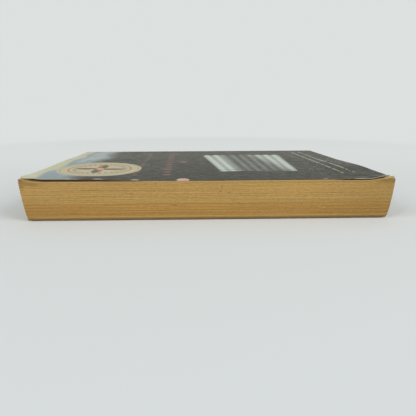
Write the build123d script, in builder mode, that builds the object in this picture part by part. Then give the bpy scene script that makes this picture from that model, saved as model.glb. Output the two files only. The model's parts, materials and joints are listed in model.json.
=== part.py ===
"""A well-read pocket paperback, lying on its back cover with the fore-edge towards -Y.

+X runs from the tail of the book to its head, +Y from the fore-edge to the spine and +Z up
through the front cover. The origin is on the table, under the middle of the book.

The glued leaves are one block. Reading has rolled the spine, so a leaf near the back lies
closer to the spine than a leaf near the front, and the two loose front corners are curled up.
The head is trimmed a little out of square, so the front leaves are shorter than the back ones.
The cover is one sheet of card, creased on both sides of the spine. The strip between the
creases is glued round the block, and the front and back panels open at the creases.
"""

import os

from build123d import *

# The trimmed book
book_height = 178.0
leaf_width = 110.2
book_thickness = 20.3
spine_roll = 2.4
head_taper = 1.25

# The cover card
card = 0.3
crease_setback = 6.0
crease_gap = 0.05
score = 0.1
spine_corner_radius = 0.8
worn_corner_radius = 4.0

# The binding glue, a web behind the leaves and a thin lip on the first and the last leaf
glue_web = 0.5
glue_lip = 0.1
glue_lip_width = 4.5

# The leaves, as bundles that part slightly along the three trimmed edges
bundle_count = 32
groove_depth = 0.18
groove_width = 0.12

# The curled corners, where the leaves near the front bend up, and the ends of the front panel,
# which stand off the leaves
tail_curl = 1.3
head_curl = 1.6
curl_reach = 12.0
curl_depth = 9.0
curl_steps = 4
tail_spring = 0.55
tail_spring_reach = 50.0
head_spring = 0.5
head_spring_reach = 24.0

# Heights of the layers
block_bottom = card + glue_lip
block_top = book_thickness - card - glue_lip
bundle_pitch = (block_top - block_bottom) / bundle_count

# Places along and across the book
tail_x = -book_height / 2
head_x = book_height / 2
head_top_x = head_x - head_taper
spine_build = glue_web + card
along_book = (1, 0, 0)


def roll(z):
    """How far a leaf at this height lies nearer the spine side than the top of the book."""
    return spine_roll * (1 - z / book_thickness) ** 2


front_edge_y = -(leaf_width + spine_build + roll(spine_corner_radius)) / 2


def fore_edge(z):
    """Where the rolled fore-edge lies at a height."""
    return front_edge_y + roll(z)


def crease(z):
    """Where the cover's crease lies on the front, at the book's full height, or on the back."""
    return fore_edge(z) + leaf_width + spine_build - crease_setback


# How the corners curl


def bend_share(z):
    """The share of a corner's curl that a leaf at this height takes part in."""
    return max(0.0, 1 - (block_top - z) / curl_depth) ** 2


def leaf_rise(full_rise, inset):
    """How far the top leaf has risen on the fore-edge, a distance in from the end of the book."""
    return full_rise * max(0.0, 1 - inset / curl_reach) ** 2


def card_spring(full_spring, reach, inset):
    """How far the front panel stands off the leaves there, all of it over half its reach."""
    return full_spring * min(1.0, max(0.0, 2 - 2 * inset / reach))


def curl_curve(edge_y, z, rise):
    """Control points of a curling sheet, from where it lies flat out to its edge."""
    start_y = edge_y + curl_reach
    return [(start_y, z), (start_y - curl_reach / 2, z), (edge_y, z + rise)]


curl_insets = [curl_reach * step / curl_steps for step in range(curl_steps + 1)]


# The head, trimmed out of square


def beyond_head(inset):
    """Everything past the trimmed head, or past a plane that lies an inset within it."""
    far = head_x + curl_reach
    low, high = -curl_reach, 2 * book_thickness
    slope = head_taper / book_thickness
    with BuildPart() as cutter:
        with BuildSketch(Plane.XZ.offset(-book_height)):
            with BuildLine():
                Polyline(
                    (head_x - inset - slope * low, low),
                    (far, low),
                    (far, high),
                    (head_x - inset - slope * high, high),
                    close=True,
                )
            make_face()
        extrude(amount=2 * book_height)
    return cutter.part


# The leaves


def spine_curve(beyond, low, high):
    """Control points of the rolled spine's curve, a distance beyond the leaves."""
    middle = (low + high) / 2
    first_y, middle_y, last_y = [fore_edge(z) + leaf_width + beyond for z in (low, middle, high)]
    return [(first_y, low), (2 * middle_y - (first_y + last_y) / 2, middle), (last_y, high)]


def bundle_edges(rise):
    """The trimmed edges of the bundles, from the top leaf down to the bottom one."""
    points = []
    for bundle in reversed(range(bundle_count)):
        low = block_bottom + bundle * bundle_pitch
        lowest = bundle == 0
        highest = bundle == bundle_count - 1
        upper = block_top if highest else low + bundle_pitch - groove_width / 2
        lower = block_bottom if lowest else low + groove_width / 2
        for z in (upper, lower):
            points.append((fore_edge(z), z + rise * bend_share(z)))
        if not lowest:
            points.append((fore_edge(low) + groove_depth, low + rise * bend_share(low)))
    return points


def block_section(x, rise):
    """The block cut across at x, where its top leaf has risen by rise at the fore-edge."""
    edges = bundle_edges(rise)
    curl = curl_curve(fore_edge(block_top), block_top, rise)
    spine = spine_curve(0, block_bottom, block_top)
    with BuildSketch(Plane.YZ.offset(x)) as section:
        with BuildLine():
            Polyline(*edges)
            Line(edges[-1], spine[0])
            Bezier(*spine)
            Line(spine[-1], curl[0])
            Bezier(*curl)
        make_face()
    return section.sketch


def end_partings(x, full_rise):
    """The partings between the bundles, as they show on an end of the block at x."""
    with BuildSketch(Plane.YZ.offset(x)) as partings:
        for bundle in range(1, bundle_count):
            middle = block_bottom + bundle * bundle_pitch
            rise = full_rise * bend_share(middle)
            under = curl_curve(fore_edge(middle), middle - groove_width / 2, rise)
            over = curl_curve(fore_edge(middle), middle + groove_width / 2, rise)
            inner_y = fore_edge(middle) + leaf_width - groove_depth
            with BuildLine():
                Bezier(*under)
                Line(under[-1], over[-1])
                Bezier(*over)
                Polyline(over[0], (inner_y, over[0][1]), (inner_y, under[0][1]), under[0])
            make_face()
    return partings.sketch


with BuildPart() as head_partings:
    extrude(end_partings(head_x, head_curl), amount=-2 * head_taper, dir=along_book)
    add(beyond_head(groove_depth), mode=Mode.INTERSECT)

with BuildPart() as page_block:
    tail_sections = [block_section(tail_x + d, leaf_rise(tail_curl, d)) for d in curl_insets]
    head_sections = [block_section(head_top_x - d, leaf_rise(head_curl, d)) for d in curl_insets]
    head_end = block_section(head_x, head_curl)
    loft(tail_sections + head_sections[::-1] + [head_end], ruled=True)
    add(beyond_head(0), mode=Mode.SUBTRACT)
    extrude(end_partings(tail_x, tail_curl), amount=groove_depth, dir=along_book, mode=Mode.SUBTRACT)
    add(head_partings.part, mode=Mode.SUBTRACT)
page_block.part.label = "page_block"


# The binding glue and the strip of card round the spine


def spine_outline(beyond, low, high, reach):
    """The region inside the rolled spine's curve, as deep as reach at its top and bottom."""
    curve = spine_curve(beyond, low, high)
    middle = (low + high) / 2
    bottom_y = curve[0][0] - reach
    top_y = curve[-1][0] - reach
    with BuildSketch(Plane.YZ.offset(tail_x)) as outline:
        with BuildLine():
            Bezier(*curve)
            Polyline(
                curve[-1],
                (top_y, high),
                (top_y, middle),
                (bottom_y, middle),
                (bottom_y, low),
                curve[0],
            )
        make_face()
    return outline.sketch


def spine_prism(beyond, low, high, reach, corner_radius):
    """A full-height prism on that region, with its two corners at the spine rounded."""
    with BuildPart() as prism:
        extrude(spine_outline(beyond, low, high, reach), amount=book_height, dir=along_book)
        levels = prism.edges().filter_by(Axis.X).group_by(Axis.Z)
        corners = [level.sort_by(Axis.Y)[-1] for level in (levels[0], levels[-1])]
        fillet(corners, corner_radius)
    return prism.part


card_inside = (glue_web, card, book_thickness - card)
card_outside = (spine_build, 0, book_thickness)
glue_reach = glue_lip_width + glue_web
inner_corner_radius = spine_corner_radius - card

with BuildPart() as spine_glue:
    add(spine_prism(*card_inside, glue_reach, inner_corner_radius))
    leaves = spine_outline(0, block_bottom, block_top, leaf_width / 2)
    extrude(leaves, amount=book_height, dir=along_book, mode=Mode.SUBTRACT)
    add(beyond_head(0), mode=Mode.SUBTRACT)
spine_glue.part.label = "spine_glue"

with BuildPart() as spine_cover:
    strip_reach = crease_setback - crease_gap / 2
    add(spine_prism(*card_outside, strip_reach, spine_corner_radius))
    add(spine_prism(*card_inside, leaf_width / 2, inner_corner_radius), mode=Mode.SUBTRACT)
    levels = spine_cover.edges().filter_by(Axis.X).group_by(Axis.Z)
    chamfer([level.sort_by(Axis.Y)[0] for level in (levels[0], levels[-1])], score)
    add(beyond_head(0), mode=Mode.SUBTRACT)
spine_cover.part.label = "spine_cover"


# The two panels


def panel_outline(at_height, end_x):
    """A panel's outline from its worn corners to the crease on the book's face at a height."""
    near_y = fore_edge(at_height)
    far_y = crease(at_height) - crease_gap / 2
    with BuildSketch() as outline:
        with Locations(((tail_x + end_x) / 2, (near_y + far_y) / 2)):
            Rectangle(end_x - tail_x, far_y - near_y)
        fillet(outline.vertices().group_by(Axis.Y)[0], worn_corner_radius)
    return outline.sketch


def front_section(x, rise, spring):
    """The front panel cut across at x, from its scored crease to its risen fore-edge."""
    inner_z = book_thickness - card
    hinge_y = crease(book_thickness) - crease_gap / 2
    under = curl_curve(fore_edge(book_thickness), inner_z + spring, rise)
    over = curl_curve(fore_edge(book_thickness), book_thickness + spring, rise)
    with BuildSketch(Plane.YZ.offset(x)) as section:
        with BuildLine():
            Line((hinge_y, inner_z), under[0])
            Bezier(*under)
            Line(under[-1], over[-1])
            Bezier(*over)
            Polyline(
                over[0],
                (hinge_y - score, book_thickness),
                (hinge_y, book_thickness - score),
                (hinge_y, inner_z),
            )
        make_face()
    return section.sketch


def panel_end(end_x, inward, full_rise, full_spring, reach):
    """Sections of the front panel from one end of it inwards, to where it lies on the leaves."""
    return [
        front_section(
            end_x + inward * inset, leaf_rise(full_rise, inset), card_spring(full_spring, reach, inset)
        )
        for inset in sorted({*curl_insets, reach / 2, reach})
    ]


with BuildPart() as front_cover:
    tail_sections = panel_end(tail_x, 1, tail_curl, tail_spring, tail_spring_reach)
    head_sections = panel_end(head_top_x, -1, head_curl, head_spring, head_spring_reach)
    loft(tail_sections + head_sections[::-1], ruled=True)
    outline = panel_outline(book_thickness, head_top_x)
    extrude(outline, amount=2 * book_thickness, mode=Mode.INTERSECT)
front_cover.part.label = "front_cover"

with BuildPart() as back_cover:
    extrude(panel_outline(0, head_x), amount=card)
    outer_face = back_cover.faces().sort_by(Axis.Z)[0]
    chamfer(outer_face.edges().sort_by(Axis.Y)[-1], score)
back_cover.part.label = "back_cover"


os.makedirs("parts", exist_ok=True)
for piece in (page_block, spine_glue, spine_cover, front_cover, back_cover):
    export_step(piece.part, f"parts/{piece.part.label}.step")
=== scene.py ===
"""A well-read pocket paperback lying on its back cover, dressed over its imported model.

+X runs from the tail of the book to its head, +Y from the fore-edge to the spine, and +Z up
through the front cover. Lengths are in metres, and the printed patterns are drawn in
millimetres on the book.
"""

from __future__ import annotations

import json
import logging
import math
from dataclasses import dataclass, field
from enum import Enum
from typing import Any, Sequence

import bmesh
import bpy
import numpy as np
from mathutils import Matrix, Vector

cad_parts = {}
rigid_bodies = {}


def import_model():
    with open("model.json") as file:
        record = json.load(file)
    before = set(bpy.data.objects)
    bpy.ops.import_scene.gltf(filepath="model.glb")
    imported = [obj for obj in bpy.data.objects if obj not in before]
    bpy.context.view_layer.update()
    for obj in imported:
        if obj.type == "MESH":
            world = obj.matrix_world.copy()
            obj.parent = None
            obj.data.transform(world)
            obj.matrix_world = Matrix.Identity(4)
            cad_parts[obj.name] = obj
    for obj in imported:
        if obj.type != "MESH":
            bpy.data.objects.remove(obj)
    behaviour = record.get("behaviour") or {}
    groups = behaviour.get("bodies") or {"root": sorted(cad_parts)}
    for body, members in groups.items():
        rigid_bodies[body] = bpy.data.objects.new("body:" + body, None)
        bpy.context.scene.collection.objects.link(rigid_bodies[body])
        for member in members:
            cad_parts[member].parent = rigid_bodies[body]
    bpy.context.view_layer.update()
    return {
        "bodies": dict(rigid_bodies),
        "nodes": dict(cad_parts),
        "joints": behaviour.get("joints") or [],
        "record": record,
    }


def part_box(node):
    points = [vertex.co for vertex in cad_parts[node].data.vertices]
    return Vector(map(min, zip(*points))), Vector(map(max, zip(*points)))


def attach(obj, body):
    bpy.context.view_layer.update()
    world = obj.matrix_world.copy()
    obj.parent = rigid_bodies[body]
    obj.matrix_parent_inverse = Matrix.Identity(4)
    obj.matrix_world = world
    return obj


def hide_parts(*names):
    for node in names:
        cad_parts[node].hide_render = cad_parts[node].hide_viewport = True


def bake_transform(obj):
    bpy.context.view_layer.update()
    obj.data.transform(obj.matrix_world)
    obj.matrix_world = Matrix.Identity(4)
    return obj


log = logging.getLogger("paperback")

MM = 0.001
Piece = bpy.types.Object
Material = bpy.types.Material
Numbers = np.ndarray | float
Colour = tuple[float, float, float]
Span = tuple[tuple[float, float], tuple[float, float]]

# How many leaves there are in the book and in one section of it
LEAVES = 190
SECTION = 16

# How much a step across the book counts for along a line that runs round its trimmed edges
ROUND_CORNER = 1.7

# Where the tab and the chip lie along the front panel's fore-edge, in millimetres
TAB_X = -12.6
CHIP_X = -52.3


# Shader maths


@dataclass(frozen=True)
class Value:
    """A shader socket that works like a number: arithmetic on it adds Math nodes."""

    graph: Graph
    socket: bpy.types.NodeSocket

    def math(self, operation: str, *others: Value | float) -> Value:
        """Apply a Math node to this value and up to two others."""
        return self.graph.node("ShaderNodeMath", [self, *others], operation=operation)

    def __add__(self, other: Value | float) -> Value:
        """Return the sum."""
        return self.math("ADD", other)

    __radd__ = __add__

    def __sub__(self, other: Value | float) -> Value:
        """Return the difference."""
        return self.math("SUBTRACT", other)

    def __rsub__(self, other: float) -> Value:
        """Return a plain number less this value."""
        return self.graph.node("ShaderNodeMath", [other, self], operation="SUBTRACT")

    def __mul__(self, other: Value | float) -> Value:
        """Return the product."""
        return self.math("MULTIPLY", other)

    __rmul__ = __mul__

    def __truediv__(self, other: Value | float) -> Value:
        """Return the quotient."""
        return self.math("DIVIDE", other)

    def __pow__(self, other: Value | float) -> Value:
        """Return this value to a power."""
        return self.math("POWER", other)

    def __abs__(self) -> Value:
        """Return the value without its sign."""
        return self.math("ABSOLUTE")

    def cosine(self) -> Value:
        """Return the cosine of an angle in radians."""
        return self.math("COSINE")

    def least(self, other: Value | float) -> Value:
        """Return the smaller of two values."""
        return self.math("MINIMUM", other)

    def most(self, other: Value | float) -> Value:
        """Return the larger of two values."""
        return self.math("MAXIMUM", other)

    def fraction(self) -> Value:
        """Return what is left above the whole number below."""
        return self.math("FRACT")

    def rise(self, start: float, end: float) -> Value:
        """Return 0 below start and 1 above end, with a smooth step between them."""
        return self.graph.node("ShaderNodeMapRange", [self, start, end], interpolation_type="SMOOTHSTEP")

    def fall(self, start: float, end: float) -> Value:
        """Return 1 below start and 0 above end, with a smooth step between them."""
        return 1 - self.rise(start, end)

    def between(self, low: tuple[float, float], high: tuple[float, float]) -> Value:
        """Return 1 between a smooth step up over the low span and one down over the high span."""
        return self.rise(*low) * self.fall(*high)

    def near(self, place: float, inner: float, outer: float) -> Value:
        """Return 1 within inner of a place and 0 beyond outer, with a smooth step between them."""
        return abs(self - place).fall(inner, outer)


class Graph:
    """The node tree of one material or world, with one method that adds any node."""

    def __init__(self, owner: Material | bpy.types.World) -> None:
        """Start with no nodes.

        Args:
            owner: The material or world that the nodes make up.
        """
        self.owner = owner
        self.owner.use_nodes = True
        self.tree = owner.node_tree
        self.tree.nodes.clear()

    @classmethod
    def of_material(cls, name: str) -> Graph:
        """Return the empty node tree of a new material."""
        return cls(bpy.data.materials.new(name))

    def node(
        self,
        kind: str,
        inputs: Sequence[Any] | dict[Any, Any] = (),
        output: int | str = 0,
        **settings: Any,
    ) -> Value:
        """Add a node.

        Args:
            kind: The node's type.
            inputs: The values or links of its sockets, in order or by name or number.
            output: The output socket to return.
            settings: The node's own properties, which are set first.

        Returns:
            The chosen output.
        """
        made = self.tree.nodes.new(kind)
        for key, setting in settings.items():
            setattr(made, key, setting)
        pairs = inputs.items() if isinstance(inputs, dict) else enumerate(inputs)
        for key, given in pairs:
            if isinstance(given, Value):
                self.tree.links.new(given.socket, made.inputs[key])
            else:
                made.inputs[key].default_value = given
        return Value(self, made.outputs[output] if made.outputs else None)

    def place(self) -> tuple[Value, Value, Value]:
        """Find the place on the book.

        Returns:
            The place along x, y and z, in millimetres.
        """
        where = self.node("ShaderNodeTexCoord", output="Object")
        x, y, z = (self.node("ShaderNodeSeparateXYZ", [where], output=axis) for axis in ("X", "Y", "Z"))
        return x * (1 / MM), y * (1 / MM), z * (1 / MM)

    def point(self, x: Value | float, y: Value | float, z: Value | float = 0.0) -> Value:
        """Join three numbers into a vector."""
        return self.node("ShaderNodeCombineXYZ", [x, y, z])

    def noise(
        self, where: Sequence[Value | float], scale: float, detail: float, rough: float = 0.5
    ) -> Value:
        """Return soft noise from 0 to 1 at a place, with about scale features for each unit."""
        sockets = {"Vector": self.point(*where), "Scale": scale, "Detail": detail, "Roughness": rough}
        return self.node("ShaderNodeTexNoise", sockets)

    def spot(self, *where: Value | float) -> Value:
        """Return an even random number from 0 to 1 at a place."""
        return self.node("ShaderNodeTexWhiteNoise", [self.point(*where)], noise_dimensions="3D")

    def attribute(self, name: str) -> Value:
        """Return a number that the mesh holds at each point."""
        return self.node("ShaderNodeAttribute", output="Fac", attribute_name=name)

    @staticmethod
    def length(x: Value, y: Value) -> Value:
        """Return the length of a vector from its two parts."""
        return (x * x + y * y) ** 0.5

    def mix(self, share: Value | float, first: Value | Colour, second: Value | Colour) -> Value:
        """Blend two colours.

        Args:
            share: How much of the second colour shows, from 0 to 1.
            first: The colour where share is 0.
            second: The colour where share is 1.

        Returns:
            The blended colour.
        """
        colours = [c if isinstance(c, Value) else (*c, 1) for c in (first, second)]
        sockets = {0: share, 6: colours[0], 7: colours[1]}
        return self.node("ShaderNodeMix", sockets, output=2, data_type="RGBA")

    def tint(self, colour: Value, by: Value) -> Value:
        """Return a colour made lighter or darker by a number."""
        return self.node("ShaderNodeVectorMath", [colour, self.point(by, by, by)], operation="MULTIPLY")

    def finish(
        self, colour: Value, roughness: Value | float, relief: Value, depth: float, gloss: float = 0.5
    ) -> Material:
        """End the material in one surface shader.

        Args:
            colour: Its base colour.
            roughness: Its roughness.
            relief: A pattern of relief from 0 to 1.
            depth: The relief's depth in metres.
            gloss: Its specular level.

        Returns:
            The finished material.
        """
        sockets = {
            "Base Color": colour,
            "Roughness": roughness,
            "Specular IOR Level": gloss,
            "Normal": self.node("ShaderNodeBump", {"Strength": 1.0, "Distance": depth, "Height": relief}),
        }
        self.node("ShaderNodeOutputMaterial", [self.node("ShaderNodeBsdfPrincipled", sockets)])
        return self.owner


# The book's form


class Side(Enum):
    """The parts of the cover."""

    FRONT = "front"
    SPINE = "spine"
    BACK = "back"


def ease(distance: np.ndarray, far: float, near: float) -> np.ndarray:
    """Return a smooth step in distance, from 0 at far to 1 at near."""
    share = np.clip((distance - far) / (near - far), 0, 1)
    return share * share * (3 - 2 * share)


def hump(distance: np.ndarray, centre: float, width: float) -> np.ndarray:
    """Return a smooth hump, 1 at its centre and almost 0 at twice its width from there."""
    return np.exp(-(((distance - centre) / width) ** 2))


@dataclass(frozen=True)
class Offset:
    """A displacement near one end of the book, fading along and across it. Sizes in millimetres."""

    size: float
    along: tuple[float, float]
    across: tuple[float, float]

    def at(self, from_end: np.ndarray, inland: np.ndarray) -> np.ndarray:
        """Return the displacement in metres, at distances from the book's end and its fore-edge."""
        (far, near), (deep, shallow) = self.along, self.across
        return self.size * MM * ease(from_end, far * MM, near * MM) * ease(inland, deep * MM, shallow * MM)


@dataclass(frozen=True)
class BookShape:
    """The book's main sizes and curves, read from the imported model, and how it has warped."""

    tail_x: float
    head_x: float
    head_taper: float
    front_y: float
    roll: float
    leaf_width: float
    block_low: float
    thickness: float
    card: float
    spine_build: float
    front_crease: float
    back_crease: float
    end_crowding: float = 0.75
    fore_edge_crowding: float = 1.8
    tail_curl: Offset = Offset(1.2, (12.0, 0.0), (13.0, 0.0))
    head_curl: Offset = Offset(1.5, (12.5, 3.5), (8.5, 0.0))
    head_tip: Offset = Offset(-0.075, (5.0, 1.0), (8.5, 0.0))
    loose_tail: Offset = Offset(0.14, (72.0, 48.0), (70.0, 0.0))
    tight_head: Offset = Offset(-0.10, (34.0, 24.0), (70.0, 0.0))
    dip_depth: float = 0.14 * MM
    dip_x: float = -2.0 * MM
    dip_width: float = 15.0 * MM
    dip_reach: float = 70.0 * MM
    card_at_tail: tuple[Offset, ...] = (
        Offset(0.62, (58.0, 8.0), (92.0, 58.0)),
        Offset(-0.28, (58.0, 30.0), (70.0, 0.0)),
        Offset(0.56, (56.0, 30.0), (34.0, 0.0)),
    )
    tail_corner_held: float = 0.9
    tail_corner_reach: float = 9.0 * MM
    card_head_edge: Offset = Offset(0.42, (24.0, 8.0), (64.0, 42.0))
    head_edge_inland: tuple[float, float] = (4.5 * MM, 10.5 * MM)
    card_head_fore: Offset = Offset(0.26, (30.0, 18.0), (16.0, 0.0))
    head_fore_inset: tuple[float, float] = (1.0 * MM, 7.0 * MM)
    bulge_height: float = 0.40 * MM
    bulge_reach: float = 26.0 * MM
    bulge_inland: float = 31.0 * MM
    bulge_width: float = 11.0 * MM

    @classmethod
    def from_frame(cls, frame: dict[str, Any]) -> BookShape:
        """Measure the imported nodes.


        Returns:
            The book's shape.
        """
        front_low, front_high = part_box("front_cover")
        back_low, back_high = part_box("back_cover")
        block_low, block_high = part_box("page_block")
        _, spine_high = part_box("spine_cover")
        creases = {joint["child"]: joint["pos_m"][1] for joint in frame["joints"]}
        roll = back_low.y - front_low.y
        foot_roll = roll * (1 - block_low.z / spine_high.z) ** 2
        leaf_width = block_high.y - front_low.y - foot_roll
        crease_setback = 6 * MM
        return cls(
            tail_x=back_low.x,
            head_x=back_high.x,
            head_taper=back_high.x - front_high.x,
            front_y=front_low.y,
            roll=roll,
            leaf_width=leaf_width,
            block_low=block_low.z,
            thickness=spine_high.z,
            card=back_high.z - back_low.z,
            spine_build=creases["front_cover"] + crease_setback - front_low.y - leaf_width,
            front_crease=creases["front_cover"],
            back_crease=creases["back_cover"],
        )

    @property
    def height(self) -> float:
        """Return the length of the book from tail to head."""
        return self.head_x - self.tail_x

    @property
    def ends(self) -> tuple[float, float]:
        """Return where the book starts and ends along its length."""
        return self.tail_x, self.head_x

    @property
    def leaf_span(self) -> tuple[float, float]:
        """Return where the first leaf starts and ends across the book."""
        return self.front_y, self.front_y + self.leaf_width

    @property
    def block_high(self) -> float:
        """Return the height of the flat of the top leaf."""
        return self.thickness - self.block_low

    def roll_at(self, z: Numbers) -> Numbers:
        """Return how far the rolled spine has moved the leaves at a height towards +Y."""
        return self.roll * (1 - z / self.thickness) ** 2

    def head_at(self, z: Numbers) -> Numbers:
        """Return where the head, trimmed out of square, is at a height."""
        return self.head_x - self.head_taper * np.clip(z / self.thickness, 0, 1)

    def along(self, line: np.ndarray, z: Numbers) -> np.ndarray:
        """Return where a grid's lines are along the book at a height, closer together at its ends."""
        share = line / line.max()
        share = share - self.end_crowding * np.sin(2 * math.pi * share) / (2 * math.pi)
        return self.tail_x + (self.head_at(z) - self.tail_x) * share

    def inland(self, line: np.ndarray) -> np.ndarray:
        """Return how far a grid's lines are from the fore-edge, closer together beside it."""
        return self.leaf_width * (line / line.max()) ** self.fore_edge_crowding

    def from_ends(self, x: np.ndarray, z: Numbers) -> tuple[np.ndarray, np.ndarray]:
        """Return the distances from the tail and from the head."""
        return x - self.tail_x, self.head_at(z) - x

    def leaf_lift(self, x: np.ndarray, inland: np.ndarray, share: Numbers) -> np.ndarray:
        """Return how far a leaf near the front has risen.

        Args:
            x: Places along the book.
            inland: Distances from the fore-edge.
            share: The share of the curl that the leaf takes part in.

        Returns:
            The rise at each place.
        """
        tail, head = self.from_ends(x, self.thickness)
        lift = self.tail_curl.at(tail, inland) + self.loose_tail.at(tail, inland)
        for offset in (self.head_curl, self.head_tip, self.tight_head):
            lift = lift + offset.at(head, inland)
        dip = self.dip_depth * hump(x, self.dip_x, self.dip_width) * ease(inland, self.dip_reach, 0.0)
        return share * (lift - dip)

    def card_lift(self, x: np.ndarray, inland: np.ndarray) -> np.ndarray:
        """Return how far the front panel has risen, which is more than the leaves below it.

        Args:
            x: Places along the book.
            inland: Distances from the fore-edge.

        Returns:
            The rise at each place.
        """
        tail, head = self.from_ends(x, self.thickness)
        at_tail = sum(offset.at(tail, inland) for offset in self.card_at_tail)
        in_corner = ease(tail, self.tail_corner_reach, 0.0) * ease(inland, self.tail_corner_reach, 0.0)
        at_tail = at_tail * (1 - self.tail_corner_held * in_corner)
        at_head = self.card_head_edge.at(head, inland) * ease(inland, *self.head_edge_inland)
        at_head = at_head + self.card_head_fore.at(head, inland) * ease(head, *self.head_fore_inset)
        across_bulge = hump(inland, self.bulge_inland, self.bulge_width)
        bulge = self.bulge_height * ease(head, self.bulge_reach, 0.0) * across_bulge
        return self.leaf_lift(x, inland, 1.0) + at_tail + at_head + bulge


# Modelling


def clear_selection() -> None:
    """Leave nothing selected, so that the next operator acts only on what is added."""
    bpy.ops.object.select_all(action="DESELECT")


def activate(piece: Piece) -> None:
    """Make a piece the only selected one and the active one.

    Args:
        piece: The piece's object.
    """
    clear_selection()
    piece.select_set(True)
    bpy.context.view_layer.objects.active = piece


def select_edges_along(piece: Piece, axis: int) -> None:
    """Select the edges of a box's grid that run along one axis, in edit mode.

    Args:
        piece: The box.
        axis: The number of the axis.
    """
    grid = bmesh.from_edit_mesh(piece.data)
    for edge in grid.edges:
        edge.select_set(False)
    for edge in grid.edges:
        run = edge.verts[1].co - edge.verts[0].co
        edge.select_set(abs(run[axis]) > 0.9 * run.length)
    bmesh.update_edit_mesh(piece.data)


def rows_of(items: bpy.types.bpy_prop_collection, name: str) -> np.ndarray:
    """Read a vector from each point or face of a mesh, one row each."""
    flat = np.empty(len(items) * 3)
    items.foreach_get(name, flat)
    return flat.reshape(-1, 3)


def add_grid_box(
    name: str, spans: Sequence[tuple[float, float]], cuts: Sequence[int]
) -> tuple[Piece, np.ndarray, np.ndarray]:
    """Add a box and cut it into a grid.

    Args:
        name: The piece's name.
        spans: Where it starts and ends along x, y and z.
        cuts: How many cuts cross its edges along x, y and z.

    Returns:
        The box, with its place in its mesh, the number of the grid's line that each of its points
        is on along each axis, and the direction that each of its faces looks in.
    """
    clear_selection()
    low, high = (Vector(corner) for corner in zip(*spans))
    bpy.ops.mesh.primitive_cube_add(size=1, location=(low + high) / 2, scale=high - low)
    piece = bpy.context.active_object
    piece.name = piece.data.name = name
    bpy.ops.object.transform_apply(location=True, rotation=True, scale=True)
    bpy.ops.object.mode_set(mode="EDIT")
    bpy.ops.mesh.select_mode(type="EDGE")
    for axis in (2, 0, 1):
        if cuts[axis]:
            select_edges_along(piece, axis)
            bpy.ops.mesh.subdivide(number_cuts=cuts[axis])
    bpy.ops.object.mode_set(mode="OBJECT")
    share = (rows_of(piece.data.vertices, "co") - np.array(low)) / np.array(high - low)
    step = np.rint(share * (np.array(cuts) + 1)).astype(int)
    return piece, step, rows_of(piece.data.polygons, "normal")


def move_points(piece: Piece, places: np.ndarray) -> None:
    """Put a mesh's points at new places."""
    piece.data.vertices.foreach_set("co", places.ravel())
    piece.data.update()


def set_attribute(piece: Piece, name: str, values: np.ndarray) -> None:
    """Store a number at each point of a mesh for its material to read."""
    attribute = piece.data.attributes.new(name, "FLOAT", "POINT")
    attribute.data.foreach_set("value", values.astype(np.float32))


def dress(piece: Piece, materials: Sequence[Material], faces: np.ndarray) -> None:
    """Give a mesh its materials.

    Args:
        piece: The mesh's object.
        materials: The materials in order.
        faces: The number of the material that each face wears.
    """
    for material in materials:
        piece.data.materials.append(material)
    piece.data.polygons.foreach_set("material_index", faces.astype(np.int32))


def smooth_by_angle(piece: Piece, degrees: float) -> None:
    """Shade a piece smooth where its faces meet at less than an angle."""
    activate(piece)
    bpy.ops.object.shade_smooth_by_angle(angle=math.radians(degrees))


def round_edges(piece: Piece, width: float) -> None:
    """Round the sharp edges of a piece.

    Args:
        piece: The piece's object.
        width: How far the rounding reaches from each edge.
    """
    activate(piece)
    bevel = piece.modifiers.new("rounded edges", "BEVEL")
    bevel.width = width
    bevel.segments = 2
    bevel.limit_method = "ANGLE"
    bevel.angle_limit = math.radians(50)
    bpy.ops.object.modifier_apply(modifier=bevel.name)


def report(piece: Piece) -> None:
    """Log a finished piece and its size in triangles."""
    triangles = sum(len(face.vertices) - 2 for face in piece.data.polygons)
    log.info("%s: %d triangles", piece.name, triangles)


@dataclass
class Wander:
    """Smooth random curves along an edge, one for each leaf or ring."""

    rng: np.random.Generator
    count: int
    waves: Sequence[float]
    phases: np.ndarray = field(init=False)

    def __post_init__(self) -> None:
        """Draw each curve's phases."""
        self.phases = self.rng.uniform(0, 2 * math.pi, (self.count, len(self.waves)))

    def at(self, index: np.ndarray, along: np.ndarray) -> np.ndarray:
        """Follow the curves.

        Args:
            index: The number of each point's curve.
            along: How far along the edge each point is.

        Returns:
            The value at each point, between -1 and 1.
        """
        total = np.zeros(len(index))
        for number, wave in enumerate(self.waves):
            total += np.sin(2 * math.pi * along / wave + self.phases[index, number])
        return total / len(self.waves)


# Finishes


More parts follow.
